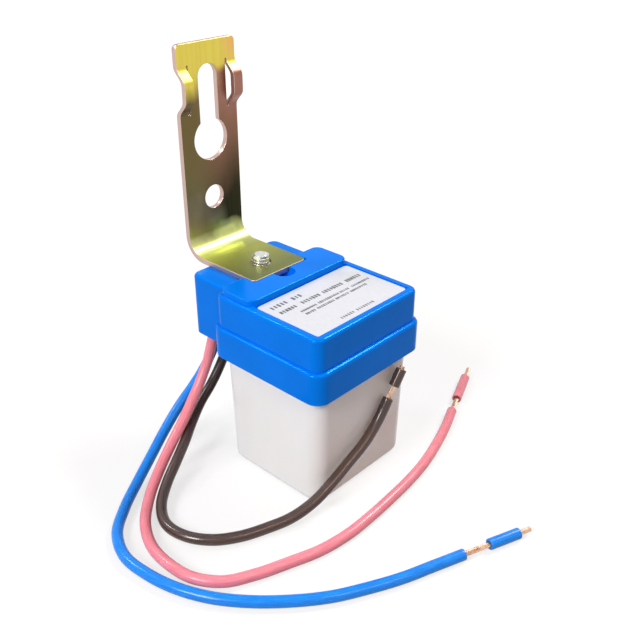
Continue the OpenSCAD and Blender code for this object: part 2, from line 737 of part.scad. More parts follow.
// A lead's insulation, one tube swept along its route
module lead(route) {
    side = normals(route, [0, 1, 0]);
    s = TUBE_SIDES;
    last = len(route) - 1;
    points = [for (i = [0:last], k = [0:s - 1])
        let(t = tangent(route, i), n = side[i], a = 360 * k / s)
        route[i] + lead_d / 2 * (cos(a) * n + sin(a) * cross(t, n))];
    sides = [for (i = [0:last - 1], k = [0:s - 1])
        [(i + 1) * s + k, (i + 1) * s + (k + 1) % s, i * s + (k + 1) % s, i * s + k]];
    ends = [[for (k = [0:s - 1]) k], [for (k = [s - 1:-1:0]) last * s + k]];
    polyhedron(points, concat(sides, ends));
}

// Turns children's Z to the direction in which a route ends, from its last point on
module past_end(route) {
    last = len(route) - 1;
    d = tangent(route, last);
    translate(route[last]) rotate([0, acos(d[2]), atan2(d[1], d[0])]) children();
}

// The copper that shows: the stripped end, and the tail soldered into the board
module core(route, ends) {
    color(COPPER) {
        past_end(route) cylinder(d = core_d, h = ends[0] + ends[1] + ends[2]);
        translate(route[0]) rotate([0, 90, 0]) cylinder(d = tail_d, h = tail_l);
        translate([route[0][0] + tail_l, route[0][1], seat_z])
            cylinder(d = core_d, h = route[0][2] - seat_z + core_d / 2);
    }
}

// The slug of insulation left on the stripped end
module end_sleeve(route, ends) {
    past_end(route) translate([0, 0, ends[0]])
        difference() {
            cylinder(d = lead_d, h = ends[1]);
            translate([0, 0, -THROUGH])
                cylinder(d = core_d + 2 * sleeve_gap, h = ends[1] + 2 * THROUGH);
        }
}

module blue_lead() { color(LEAD_BLUE) lead(blue_route); }
module red_lead() { color(LEAD_RED) lead(red_route); }
module brown_lead() { color(LEAD_BROWN) lead(brown_route); }
module blue_core() { core(blue_route, blue_ends); }
module red_core() { core(red_route, red_ends); }
module brown_core() { core(brown_route, brown_ends); }
module blue_sleeve() { color(LEAD_BLUE) end_sleeve(blue_route, blue_ends); }
module red_sleeve() { color(LEAD_RED) end_sleeve(red_route, red_ends); }
module brown_sleeve() { color(LEAD_BROWN) end_sleeve(brown_route, brown_ends); }

top_cap();
rating_label();
light_cup();
bracket();
bracket_screw();
circuit_board();
relay();
film_capacitor();
filter_capacitor();
surge_varistor();
rectifier_diodes();
zener_diode();
resistors();
transistors();
light_sensor();
blue_lead();
red_lead();
brown_lead();
blue_core();
red_core();
brown_core();
blue_sleeve();
red_sleeve();
brown_sleeve();
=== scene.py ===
"""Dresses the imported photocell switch: leads, cap, cup, bracket, screw, label and stage."""

import math

import bmesh
import bpy
from bpy.props import FloatProperty, FloatVectorProperty, IntProperty, PointerProperty
from mathutils import Matrix, Vector


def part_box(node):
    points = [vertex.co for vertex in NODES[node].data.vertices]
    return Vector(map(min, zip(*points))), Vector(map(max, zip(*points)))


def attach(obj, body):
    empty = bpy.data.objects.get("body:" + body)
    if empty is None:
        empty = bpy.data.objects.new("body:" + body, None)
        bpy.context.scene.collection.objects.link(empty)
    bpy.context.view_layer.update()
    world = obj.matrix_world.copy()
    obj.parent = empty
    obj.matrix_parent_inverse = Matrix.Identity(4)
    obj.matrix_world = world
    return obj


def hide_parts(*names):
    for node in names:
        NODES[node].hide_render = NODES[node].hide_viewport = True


bl_info = {
    "name": "Photocell switch",
    "version": (1, 0, 0),
    "blender": (4, 5, 0),
    "location": "View3D > Sidebar > Photocell",
    "description": "Builds the finished pieces of a photocell switch on its solid frame",
    "category": "Add Mesh",
}

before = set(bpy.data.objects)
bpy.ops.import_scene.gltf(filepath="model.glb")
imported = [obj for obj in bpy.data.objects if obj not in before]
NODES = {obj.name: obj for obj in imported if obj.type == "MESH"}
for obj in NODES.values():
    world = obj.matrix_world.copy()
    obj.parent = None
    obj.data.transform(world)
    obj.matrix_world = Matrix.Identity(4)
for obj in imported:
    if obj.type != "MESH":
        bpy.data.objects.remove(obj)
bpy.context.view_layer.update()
BODY = "root"
MM = 0.001
DOUBLES = 1e-6

# Routes of the leads' centre lines in millimetres, from the board to the end of the insulation
ROUTES = {
    "blue": [
        (-1, -7.8, 42.2), (-2.6, -7.8, 42.2), (-5.8, -7.9, 41.6), (-9, -7.9, 40.8),
        (-11.7, -7.9, 39.6), (-14.1, -7.9, 37.6), (-15.7, -8.1, 34.9), (-16.8, -8.2, 31.8),
        (-17.7, -8.5, 28.7), (-18.7, -9.1, 25.6), (-19.3, -10.1, 22.7), (-19.8, -11.6, 19.8),
        (-20.1, -13.8, 17), (-20.2, -17, 14.2), (-20, -21.1, 11.4), (-18.3, -27.9, 7.6),
        (-15.5, -34.8, 4.6), (-12, -41.8, 2.6), (-6.9, -49.9, 1.5), (-1.4, -55.8, 1.4),
        (5.9, -58.9, 1.4), (13.9, -58.7, 1.4), (21.7, -56.9, 1.4), (29, -53.6, 1.4),
        (35.6, -48.9, 1.4), (41.4, -43.4, 1.4), (47.5, -36, 1.4), (51.6, -29, 1.4), (55.2, -21.8, 1.4),
        (58.1, -14.3, 1.4), (61, -6.8, 1.4),
    ],
    "red": [
        (-1, -11.2, 42.2), (-2.5, -11.2, 42.2), (-5.5, -11.2, 42.1), (-8.6, -11.2, 41.4),
        (-11.4, -11.2, 39.9), (-13.5, -11.2, 37.8), (-14.9, -11.3, 35.2), (-15.7, -11.5, 32.3),
        (-16.1, -12, 29.2), (-16.1, -13.1, 26.1), (-16, -14.3, 23.2), (-15.9, -15.9, 20.6),
        (-15.6, -17.8, 18.1), (-15, -21, 14.8), (-13.9, -24.8, 11.7), (-11.6, -31.5, 7.7),
        (-8.3, -38.4, 4.7), (-4, -44.7, 2.8), (1.3, -49.8, 1.8), (7.8, -52.9, 1.4), (15.1, -53.7, 1.4),
        (22, -52.6, 1.4), (27.5, -48.9, 1.4), (31.1, -42.8, 1.4), (34, -35.4, 1.4), (36.6, -27.8, 1.4),
        (37.8, -19.8, 1.4), (37.8, -11.6, 1.4), (37.3, -3.2, 1.4), (36.5, 5.2, 1.4), (35.1, 13.5, 1.4),
        (32.9, 21.6, 1.4), (30.2, 29.6, 1.4), (27, 37.4, 1.4),
    ],
    "brown": [
        (-1, -4.4, 42.2), (-2.6, -4.4, 42.2), (-5.2, -4.5, 41.8), (-8.3, -4.6, 40.9),
        (-12, -4.7, 38.5), (-14.6, -4.7, 35.4), (-16.2, -4.8, 30.9), (-17.1, -5.4, 26),
        (-17.7, -7, 21.5), (-17.8, -9.4, 17.6), (-17.5, -12.6, 14.3), (-16.6, -17, 11.5),
        (-14, -22.4, 9.1), (-10.6, -27.8, 7.4), (-7.5, -33.2, 5.8), (-4.9, -38.4, 3.6),
        (-1.2, -43.2, 1.9), (4.5, -46.2, 1.4), (10.8, -45.6, 1.4), (16.3, -42.2, 1.4),
        (20.1, -37.1, 1.4), (22.7, -31.1, 1.5), (25.2, -25.3, 2.4), (27, -19.4, 4.7),
        (27.4, -13.5, 7.2), (27.3, -7.5, 9.6), (27.3, -1.5, 12.4), (27.2, 3.5, 16.4),
        (27.4, 6.8, 21.2),
    ],
}
# Bare core before the sleeve, sleeve, and bare tip beyond it, in millimetres
STRIPPED = {"blue": (6.9, 8.4, 3.2), "red": (6.2, 12, 5), "brown": (3.3, 4.6, 0.7)}
# How much each insulation mirrors
GLOSS = {"blue": 0.32, "red": 0.3, "brown": 0.55}
# Longest step along a lead, and the length of it that one unit of its UV map covers
PATH_STEP = 0.8 * MM
UV_LENGTH = 20 * MM
# Share of a cut end's rounding at which its middle ring lies
MIDDLE_RING = 0.3
# The straight tail between a lead's insulation and the board
TAIL_LENGTH = 2.1 * MM
# Thickness of the bracket's sheet, and where its bend runs out into the foot (X) and the leg (Z)
SHEET = 1.5 * MM
BEND_END_X = -21.7 * MM
BEND_END_Z = 53.4 * MM
# Edges that turn by more than this are rounded, in degrees
SHARP_ANGLE = 40
WHITE = (1.0, 1.0, 1.0)
# The camera that fits the photograph: degrees round, up and rolled, and its eye in millimetres
CAMERA_ANGLES = (42.593, 29.103, 0.229)
CAMERA_EYE = (130.225, -130.134, 138.045)
# Each lamp's place, its width and height in metres, and its colour
LAMPS = {
    "key": ((0.06, -0.89, 0.68), (0.36, 0.36), WHITE),
    "top": ((0.14, 0.55, 0.7), (0.3, 0.14), WHITE),
    "edge": ((-0.66, -0.33, 0.84), (0.12, 0.12), WHITE),
    "fill": ((0.72, -0.11, 0.84), (0.5, 0.06), (1.0, 0.66, 0.44)),
}
# The point that the lamps face, in millimetres
LAMP_AIM = (8, -6, 40)


def from_screen(red, green, blue):
    """A screen colour, 0 to 255 each, as the linear colour that shaders take."""
    levels = []
    for level in (red, green, blue):
        value = level / 255
        levels.append(value / 12.92 if value <= 0.04045 else ((value + 0.055) / 1.055) ** 2.4)
    return tuple(levels)


def opaque(colour):
    """A colour with full alpha, as sockets take it."""
    return (colour[0], colour[1], colour[2], 1.0)


def colour_setting(name, description, red, green, blue):
    """A colour property, its default given as a screen colour."""
    return FloatVectorProperty(
        name=name, description=description, subtype="COLOR", size=3, min=0, max=1,
        default=from_screen(red, green, blue))


def length_setting(name, description, millimetres):
    """A length property, its default given in millimetres."""
    return FloatProperty(
        name=name, description=description, subtype="DISTANCE", unit="LENGTH",
        default=millimetres * MM)


def power_setting(name, description, watts):
    """The power of a lamp."""
    return FloatProperty(
        name=name, description=description, subtype="POWER", unit="POWER", default=watts)


class CapSettings(bpy.types.PropertyGroup):
    """Sizes and colours of the moulded cap."""

    colour: colour_setting("Cap colour", "Colour of the moulded plastic", 0, 123, 238)
    edge: length_setting(
        "Rim rounding", "Rounding of the rim's inner edge; other edges have half of it", 0.42)


class CupSettings(bpy.types.PropertyGroup):
    """Sizes and colours of the milky cup."""

    colour: colour_setting("Cup colour", "Colour of the milky plastic", 250, 250, 250)
    edge: length_setting("Edge rounding", "Rounding of the cup's rim", 0.2)


class BracketSettings(bpy.types.PropertyGroup):
    """Sizes and colours of the bent bracket and its screw."""

    yellow: colour_setting("Yellow film", "Colour of the plating where its film is thin", 212, 194, 84)
    mauve: colour_setting("Mauve film", "Colour of the plating where its film is thick", 152, 106, 94)
    cut: colour_setting("Cut edge", "Colour of the sheared edges", 198, 172, 164)
    edge: length_setting("Edge rounding", "Rounding of the pressed edges", 0.2)
    thread_pitch: length_setting("Thread pitch", "Rise of the screw's thread in one turn", 0.8)
    thread_depth: length_setting("Thread depth", "Height of the screw's thread above its root", 0.5)


class LabelSettings(bpy.types.PropertyGroup):
    """Sizes and colours of the label."""

    paper: colour_setting("Label colour", "Colour of the label's face", 216, 220, 228)
    ink: colour_setting("Print colour", "Colour of the print bars", 78, 81, 90)
    ink_height: length_setting("Print height", "Thickness of the print bars", 0.02)


class LeadSettings(bpy.types.PropertyGroup):
    """Sizes and colours of the three leads."""

    blue: colour_setting("Blue lead", "Colour of the blue insulation", 0, 140, 250)
    red: colour_setting("Red lead", "Colour of the red insulation", 255, 146, 160)
    brown: colour_setting("Brown lead", "Colour of the brown insulation", 74, 53, 46)
    diameter: length_setting("Lead diameter", "Outer diameter of the insulation", 2.7)
    core: length_setting("Core diameter", "Diameter of the copper core", 1.3)
    sides: IntProperty(
        name="Sides", description="Faces round a lead", default=24, min=8, max=64)


class StageSettings(bpy.types.PropertyGroup):
    """Lamps and camera."""

    key: power_setting("Key lamp", "Power of the large lamp in front", 9.2)
    top: power_setting("Top lamp", "Power of the lamp above and behind", 4.2)
    edge: power_setting("Edge lamp", "Power of the small lamp on the left that lights the cap's edges", 2.2)
    fill: power_setting("Fill lamp", "Power of the warm strip lamp on the right", 2.2)
    sky: FloatProperty(
        name="Room light", description="Strength of the light from all round",
        subtype="FACTOR", default=0.13, min=0, max=1)
    lens: FloatProperty(
        name="Lens", description="Focal length on a 36 mm sensor",
        subtype="DISTANCE_CAMERA", default=46.81)


class NodeTools:
    """Short ways to add and join the nodes of a tree."""

    def add(self, kind, inputs, **settings):
        """One node, with its settings and with inputs that are values or other sockets."""
        node = self.tree.nodes.new(kind)
        for key, value in settings.items():
            setattr(node, key, value)
        for key, value in inputs.items():
            self.put(node.inputs[key], value)
        return node

    def put(self, socket, value):
        """Sets a socket to a value, or joins it to another socket."""
        if isinstance(value, bpy.types.NodeSocket):
            self.tree.links.new(value, socket)
        else:
            socket.default_value = value

    def math(self, operation, first, second):
        """One sum of two values."""
        return self.add("ShaderNodeMath", {0: first, 1: second}, operation=operation).outputs[0]


class Finish(NodeTools):
    """A node material."""

    def __init__(self, name):
        self.material = bpy.data.materials.new(name)
        self.material.use_nodes = True
        self.tree = self.material.node_tree
        self.shader = self.tree.nodes["Principled BSDF"]

    def shade(self, **values):
        """Sets or joins the surface shader's sockets, their names written with underscores."""
        for key, value in values.items():
            self.put(self.shader.inputs[key.replace("_", " ")], value)

    def places(self, scale=(1, 1, 1), output="Object"):
        """Object coordinates, or another output, stretched by a scale."""
        source = self.add("ShaderNodeTexCoord", {}).outputs[output]
        return self.add("ShaderNodeMapping", {"Vector": source, "Scale": scale}).outputs[0]

    def noise(self, places, scale, detail):
        """Soft grey noise."""
        inputs = {"Vector": places, "Scale": scale, "Detail": detail}
        return self.add("ShaderNodeTexNoise", inputs).outputs["Fac"]

    def ramp(self, factor, *stops):
        """A colour for each value, from stops of position and colour."""
        node = self.add("ShaderNodeValToRGB", {0: factor})
        elements = node.color_ramp.elements
        while len(elements) < len(stops):
            elements.new(0.5)
        for element, (position, colour) in zip(elements, stops):
            element.position = position
            element.color = opaque(colour)
        return node.outputs["Color"]

    def spread(self, value, low, high, to_low, to_high):
        """A value moved from one range to another."""
        inputs = {0: value, 1: low, 2: high, 3: to_low, 4: to_high}
        return self.add("ShaderNodeMapRange", inputs).outputs[0]

    def mix(self, factor, first, second):
        """Two colours mixed by a factor."""
        inputs = {0: factor, 6: first, 7: second}
        return self.add("ShaderNodeMix", inputs, data_type="RGBA").outputs[2]

    def bump(self, height, strength, distance):
        """Joins a height to the surface's normal."""
        inputs = {"Height": height, "Strength": strength, "Distance": distance}
        self.shade(Normal=self.add("ShaderNodeBump", inputs).outputs[0])


def cap_plastic(colour):
    """Glossy moulded plastic: a little flow shading, a fine skin and faint rub marks."""
    finish = Finish("cap_plastic")
    places = finish.places()
    flow = finish.noise(places, 70, 4)
    deep = [level * 0.92 for level in colour]
    light = [min(level * 1.05, 1) for level in colour]
    tint = finish.ramp(flow, (0.3, deep), (0.7, light))
    rubs = finish.noise(finish.places((260, 900, 900)), 1, 2)
    finish.shade(Base_Color=tint, Roughness=finish.spread(rubs, 0.35, 0.7, 0.13, 0.2))
    finish.shade(Specular_IOR_Level=0.03, Metallic=0.1)
    finish.bump(finish.noise(places, 2600, 2), 0.06, 0.02 * MM)
    return finish.material


def milky_plastic(colour):
    """Translucent milky plastic with faint upright flow lines and soft clouds."""
    finish = Finish("milky_plastic")
    streaks = finish.noise(finish.places((150, 150, 8)), 1, 2)
    cloud = finish.noise(finish.places(), 55, 2)
    shade = [level * 0.96 for level in colour]
    warm = (colour[0], colour[1] * 0.985, colour[2] * 0.955)
    tint = finish.ramp(streaks, (0.35, shade), (0.6, colour))
    finish.shade(Base_Color=finish.mix(finish.spread(cloud, 0.4, 0.7, 0.0, 0.6), tint, opaque(warm)))
    finish.shade(Roughness=finish.spread(streaks, 0.3, 0.7, 0.26, 0.36))
    finish.shade(Subsurface_Weight=0.25, Subsurface_Radius=(1.0, 0.93, 0.85), Subsurface_Scale=1 * MM)
    finish.shade(Specular_IOR_Level=0.4)
    finish.bump(streaks, 0.02, 0.02 * MM)
    return finish.material


def yellow_zinc(yellow, mauve, cut):
    """Yellow-passivated zinc: a film whose colour drifts along the strip, with rolling lines; the dark
    middle and low right of the leg are partly painted reflection of a dark room, and the foot's darker tip
    is painted reflection of the leg and screw.
    """
    finish = Finish("yellow_zinc")
    axes = finish.add("ShaderNodeSeparateXYZ", {0: finish.places()})
    drift = finish.noise(finish.places((60, 90, 60)), 1, 3)
    wander = finish.math("SUBTRACT", drift, 0.5)
    height = finish.spread(axes.outputs[2], 47 * MM, 101 * MM, 0, 1)
    drifting_height = finish.math("ADD", height, finish.math("MULTIPLY", wander, 0.25))
    olive = from_screen(188, 194, 120)
    brown = from_screen(104, 90, 56)
    # The dark olive and brown stops in the middle of the leg, darkest low on the right, are partly the
    # film's own colour and partly painted reflection of a dark room.
    left = finish.ramp(
        drifting_height, (0.1, olive), (0.2, from_screen(152, 138, 110)), (0.36, from_screen(112, 102, 66)),
        (0.55, brown), (0.74, brown), (0.83, yellow))
    right = finish.ramp(
        drifting_height, (0.07, olive), (0.13, from_screen(30, 34, 18)), (0.26, from_screen(36, 37, 22)),
        (0.5, from_screen(120, 88, 70)), (0.7, mauve), (0.83, mauve), (0.88, yellow))
    side = finish.math("ADD", axes.outputs[1], finish.math("MULTIPLY", wander, 8 * MM))
    leg = finish.mix(finish.spread(side, -5 * MM, 4 * MM, 0, 1), left, right)
    pink = from_screen(236, 152, 118)
    blush = finish.math("MULTIPLY", finish.spread(side, 4 * MM, 10 * MM, 0, 1),
                        finish.spread(drifting_height, 0.88, 1.05, 0, 1))
    leg = finish.mix(blush, leg, opaque(pink))
    # The foot gets darker towards its tip: painted reflection of the leg and the screw.
    reach = finish.math("ADD", axes.outputs[0], finish.math("MULTIPLY", wander, 6 * MM))
    foot = finish.ramp(finish.spread(reach, -19 * MM, -4 * MM, 0, 1), (0.1, from_screen(166, 169, 82)),
                       (0.9, from_screen(122, 128, 74)))
    on_foot = finish.spread(axes.outputs[0], -23 * MM, -19 * MM, 0, 1)
    tint = finish.mix(on_foot, leg, foot)
    lines = finish.noise(finish.places((1500, 1500, 40)), 1, 2)
    shaded = finish.mix(finish.spread(lines, 0.35, 0.65, 0.0, 0.1), tint, opaque(brown))
    edge = finish.add("ShaderNodeAttribute", {}, attribute_name="cut_edge").outputs["Fac"]
    finish.shade(Base_Color=finish.mix(edge, shaded, opaque(cut)), Metallic=1.0)
    smooth = finish.spread(drift, 0.3, 0.7, 0.3, 0.38)
    finish.shade(Roughness=finish.math("ADD", smooth, finish.math("MULTIPLY", on_foot, 0.1)))
    finish.bump(lines, 0.12, 0.02 * MM)
    return finish.material


def bright_zinc():
    """Bright zinc plating with fine turning marks."""
    finish = Finish("bright_zinc")
    marks = finish.noise(finish.places((900, 900, 2400)), 1, 2)
    bright = from_screen(236, 236, 232)
    dull = from_screen(196, 197, 198)
    finish.shade(Base_Color=finish.ramp(marks, (0.3, dull), (0.7, bright)), Metallic=1.0)
    finish.shade(Roughness=finish.spread(marks, 0.3, 0.7, 0.18, 0.34))
    finish.bump(marks, 0.05, 0.01 * MM)
    return finish.material


def label_film(colour):
    """Satin label film with a faint fibre."""
    finish = Finish("label_film")
    fibre = finish.noise(finish.places((700, 1600, 700)), 1, 3)
    shade = [level * 0.94 for level in colour]
    finish.shade(Base_Color=finish.ramp(fibre, (0.35, shade), (0.65, colour)))
    finish.shade(Roughness=finish.spread(fibre, 0.3, 0.7, 0.32, 0.45))
    finish.bump(fibre, 0.08, 0.01 * MM)
    return finish.material


def print_ink(colour):
    """Thin printed ink, a little uneven."""
    finish = Finish("print_ink")
    cover = finish.noise(finish.places(), 2200, 2)
    pale = [level + (0.6 - level) * 0.25 for level in colour]
    finish.shade(Base_Color=finish.ramp(cover, (0.4, colour), (0.75, pale)), Roughness=0.45)
    return finish.material


def lead_vinyl(name, colour, gloss):
    """Soft insulation: drawn lines along the lead and a waxy gloss; the sleeves share it."""
    if name in bpy.data.materials:
        return bpy.data.materials[name]
    finish = Finish(name)
    along = finish.places((24, 5, 1), "UV")
    drawn = finish.noise(along, 1, 3)
    dark = [level * 0.82 for level in colour]
    light = [min(level * 1.06 + 0.01, 1) for level in colour]
    finish.shade(Base_Color=finish.ramp(drawn, (0.3, dark), (0.7, light)))
    finish.shade(Roughness=finish.spread(drawn, 0.3, 0.7, 0.17, 0.26), Specular_IOR_Level=gloss)
    finish.shade(Subsurface_Weight=0.3, Subsurface_Radius=(1.0, 0.8, 0.8), Subsurface_Scale=0.8 * MM)
    finish.bump(drawn, 0.04, 0.03 * MM)
    return finish.material


def bare_copper():
    """Drawn copper, lightly tarnished."""
    finish = Finish("bare_copper")
    tarnish = finish.noise(finish.places(), 420, 3)
    bright = from_screen(232, 203, 182)
    brown = from_screen(178, 136, 110)
    finish.shade(Base_Color=finish.ramp(tarnish, (0.3, brown), (0.75, bright)), Metallic=1.0)
    finish.shade(Roughness=finish.spread(tarnish, 0.3, 0.7, 0.28, 0.44))
    finish.bump(tarnish, 0.08, 0.01 * MM)
    return finish.material


def component_finish(name, colour, roughness):
    """A component's case: a speckled moulding or lacquer."""
    finish = Finish(name)
    speck = finish.noise(finish.places(), 1400, 3)
    dark = [level * 0.8 for level in colour]
    finish.shade(Base_Color=finish.ramp(speck, (0.35, dark), (0.65, colour)))
    finish.shade(Roughness=finish.spread(speck, 0.3, 0.7, roughness, roughness + 0.12))
    finish.bump(speck, 0.1, 0.01 * MM)
    return finish.material


def new_piece(name, mesh, material, slot, *replaced):
    """An object at the origin that rides on the body and stands for its solids."""
    piece = bpy.data.objects.new(name, mesh)
    bpy.context.scene.collection.objects.link(piece)
    piece.data.materials.clear()
    piece.data.materials.append(material)
    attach(piece, BODY)
    if replaced:
        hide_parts(*replaced)
    return piece


def merged_copy(node, name, angle=0.4):
    """A copy of a solid's mesh, with the triangles that are level within an angle in degrees joined."""
    mesh = NODES[node].data.copy()
    mesh.name = name
    build = bmesh.new()
    build.from_mesh(mesh)
    bmesh.ops.remove_doubles(build, verts=build.verts, dist=DOUBLES)
    bmesh.ops.dissolve_limit(build, angle_limit=math.radians(angle), verts=build.verts,
                             edges=build.edges)
    for face in build.faces:
        face.smooth = True
    build.to_mesh(mesh)
    build.free()
    if "custom_normal" in mesh.attributes:
        mesh.attributes.remove(mesh.attributes["custom_normal"])
    return mesh


def soften_edges(piece, width, segments, sharp=None):
    """Rounds the edges sharper than an angle in degrees, or by their weights, and keeps the flats flat."""
    bevel = piece.modifiers.new("edge_rounding", "BEVEL")
    bevel.width = width
    bevel.segments = segments
    if sharp is None:
        bevel.limit_method = "WEIGHT"
    else:
        bevel.limit_method = "ANGLE"
        bevel.angle_limit = math.radians(sharp)
    bevel.miter_outer = "MITER_ARC"
    shade_flats(piece)


def shade_flats(piece):
    """Keeps the flat faces of a piece flat beside their rounded edges."""
    flats = piece.modifiers.new("flat_shading", "WEIGHTED_NORMAL")
    flats.weight = 100


def smooth_path(points, step):
    """Points along one smooth curve through the route, no further apart than a step."""
    places = [Vector(point) * MM for point in points]
    spans = [(after - before).length for before, after in zip(places, places[1:])]
    speeds = [(after - before) / span for before, after, span in zip(places, places[1:], spans)]
    slopes = [speeds[0]]
    for index in range(1, len(places) - 1):
        before, after = spans[index - 1], spans[index]
        slopes.append((speeds[index] * before + speeds[index - 1] * after) / (before + after))
    slopes.append(speeds[-1])
    path = [places[0]]
    for index, span in enumerate(spans):
        count = max(2, math.ceil(span / step))
        for part in range(1, count + 1):
            t = part / count
            start = (2 * t ** 3 - 3 * t ** 2 + 1) * places[index]
            leave = (t ** 3 - 2 * t ** 2 + t) * span * slopes[index]
            end = (3 * t ** 2 - 2 * t ** 3) * places[index + 1]
            arrive = (t ** 3 - t ** 2) * span * slopes[index + 1]
            path.append(start + leave + end + arrive)
    return path


def path_frames(path):
    """Each point of a path with its direction and a side that turns as little as it can."""
    frames = []
    side = Vector((0, 1, 0))
    for index, place in enumerate(path):
        ahead = path[min(index + 1, len(path) - 1)] - path[max(index - 1, 0)]
        ahead.normalize()
        side = (side - side.dot(ahead) * ahead).normalized()
        frames.append((place, ahead, side))
    return frames


def join_loops(build, uv_layer, first, second, ends):
    """A band of faces between two loops of points, mapped by the turn and the distance of each end."""
    sides = len(first)
    for k in range(sides):
        after = (k + 1) % sides
        face = build.faces.new((first[k], first[after], second[after], second[k]))
        face.smooth = True
        turns = (k / sides, (k + 1) / sides, (k + 1) / sides, k / sides)
        for loop, turn, distance in zip(face.loops, turns, (ends[0], ends[0], ends[1], ends[1])):
            loop[uv_layer].uv = (turn, distance / UV_LENGTH)


def sweep(build, rings, sides):
    """Rings of (place, direction, side, radius, distance) joined into a closed skin with a UV map."""
    uv_layer = build.loops.layers.uv.verify()
    loops = []
    distances = []
    for place, ahead, side, radius, distance in rings:
        other = ahead.cross(side)
        loop = []
        for k in range(sides):
            angle = 2 * math.pi * k / sides
            loop.append(build.verts.new(place + radius * (math.cos(angle) * side + math.sin(angle) * other)))
        loops.append(loop)
        distances.append(distance)
    for index in range(len(loops) - 1):
        join_loops(build, uv_layer, loops[index], loops[index + 1], distances[index:index + 2])
    build.faces.new(list(reversed(loops[0])))
    build.faces.new(loops[-1])


def lead_rings(path, radius, bore):
    """The rings of a lead: a rounded cut at each end, and the bore the core comes out of."""
    rings = []
    distance = 0.0
    frames = path_frames(path)
    round_over = 0.12 * MM
    cut_depth = 1.2 * MM
    for index, (place, ahead, side) in enumerate(frames):
        if index:
            distance += (place - frames[index - 1][0]).length
        rings.append((place, ahead, side, radius, distance))
    first_place, first_ahead, first_side = frames[0]
    last_place, last_ahead, last_side = frames[-1]
    rings[0] = (first_place + first_ahead * round_over, first_ahead, first_side, radius, round_over)
    rings.insert(0, (first_place, first_ahead, first_side, radius - round_over, 0))
    rings[-1] = (last_place - last_ahead * round_over, last_ahead, last_side, radius, distance)
    inset = round_over * MIDDLE_RING
    rings.append((last_place - last_ahead * inset, last_ahead, last_side, radius - inset, distance))
    rings.append((last_place, last_ahead, last_side, radius - round_over, distance))
    rings.append((last_place, last_ahead, last_side, bore, distance))
    rings.append((last_place - last_ahead * cut_depth, last_ahead, last_side, bore, distance))
    return rings


def end_matrix(path):
    """Turns local Z to the direction in which a path ends, with its end as the origin."""
    place, ahead, side = path_frames(path)[-1]
    other = ahead.cross(side)
    turned = Matrix((side, other, ahead)).transposed().to_4x4()
    return Matrix.Translation(place) @ turned


class NodeShape(NodeTools):
    """A geometry node tree built in the script, with named inputs."""

    def __init__(self, name, material):
        self.tree = bpy.data.node_groups.new(name, "GeometryNodeTree")
        self.tree.interface.new_socket("Geometry", in_out="OUTPUT", socket_type="NodeSocketGeometry")
        self.source = self.tree.nodes.new("NodeGroupInput")
        self.material = material
        self.values = {}

    def number(self, name, value):
        """A named input and its value."""
        item = self.tree.interface.new_socket(name, in_out="INPUT", socket_type="NodeSocketFloat")
        self.values[item.identifier] = value
        return self.source.outputs[name]

    def triple(self, x=0.0, y=0.0, z=0.0):
        """Three values as one vector."""
        return self.add("ShaderNodeCombineXYZ", {0: x, 1: y, 2: z}).outputs[0]

    def join(self, *parts):
        """Several shapes as one."""
        node = self.tree.nodes.new("GeometryNodeJoinGeometry")
        for part in parts:
            self.tree.links.new(part, node.inputs[0])
        return node.outputs[0]

    def mesh(self, shape):
        """Ends the tree, evaluates it and returns the result as a plain mesh."""
        whole = self.add("GeometryNodeRealizeInstances", {0: shape})
        painted = self.add("GeometryNodeSetMaterial", {0: whole.outputs[0], "Material": self.material})
        output = self.tree.nodes.new("NodeGroupOutput")
        self.tree.links.new(painted.outputs[0], output.inputs[0])
        holder = bpy.data.objects.new(self.tree.name, bpy.data.meshes.new(self.tree.name))
        bpy.context.scene.collection.objects.link(holder)
        modifier = holder.modifiers.new("shape", "NODES")
        modifier.node_group = self.tree
        for identifier, value in self.values.items():
            modifier[identifier] = value
        bpy.context.view_layer.update()
        depsgraph = bpy.context.evaluated_depsgraph_get()
        result = bpy.data.meshes.new_from_object(holder.evaluated_get(depsgraph))
        holder.modifiers.remove(modifier)
        bpy.data.objects.remove(holder)
        if not result.polygons:
            raise RuntimeError("the node tree " + self.tree.name + " made no faces")
        return result


def strand_mesh(name, core, length, material):
    """Nineteen copper strands laid up in two rings round a straight one."""
    shape = NodeShape(name, material)
    strand = shape.number("Strand radius", core / 10)
    reach = shape.number("Length", length)
    lay = 11 * MM
    turns = shape.number("Turns", length / lay)
    profile = shape.add("GeometryNodeCurvePrimitiveCircle", {"Resolution": 8, "Radius": strand},
                        mode="RADIUS")
    straight = shape.add("GeometryNodeCurvePrimitiveLine", {"End": shape.triple(z=reach)}, mode="POINTS")
    lines = [straight.outputs[0]]
    for ring, count in ((2.0, 6), (4.0, 12)):
        radius = shape.math("MULTIPLY", strand, ring)
        spiral = shape.add("GeometryNodeCurveSpiral", {
            "Resolution": 24, "Rotations": turns, "Start Radius": radius, "End Radius": radius,
            "Height": reach})
        spots = shape.add("GeometryNodeMeshLine", {"Count": count, "Offset": (0, 0, 0)})
        index = shape.add("GeometryNodeInputIndex", {})
        angle = shape.math("MULTIPLY", index.outputs[0], 2 * math.pi / count)
        laid = shape.add("GeometryNodeInstanceOnPoints", {
            "Points": spots.outputs[0], "Instance": spiral.outputs[0], "Rotation": shape.triple(z=angle)})
        lines.append(shape.add("GeometryNodeRealizeInstances", {0: laid.outputs[0]}).outputs[0])
    skin = shape.add("GeometryNodeCurveToMesh", {
        "Curve": shape.join(*lines), "Profile Curve": profile.outputs[0], "Fill Caps": True})
    smooth = shape.add("GeometryNodeSetShadeSmooth", {0: skin.outputs[0]})
    return shape.mesh(smooth.outputs[0])


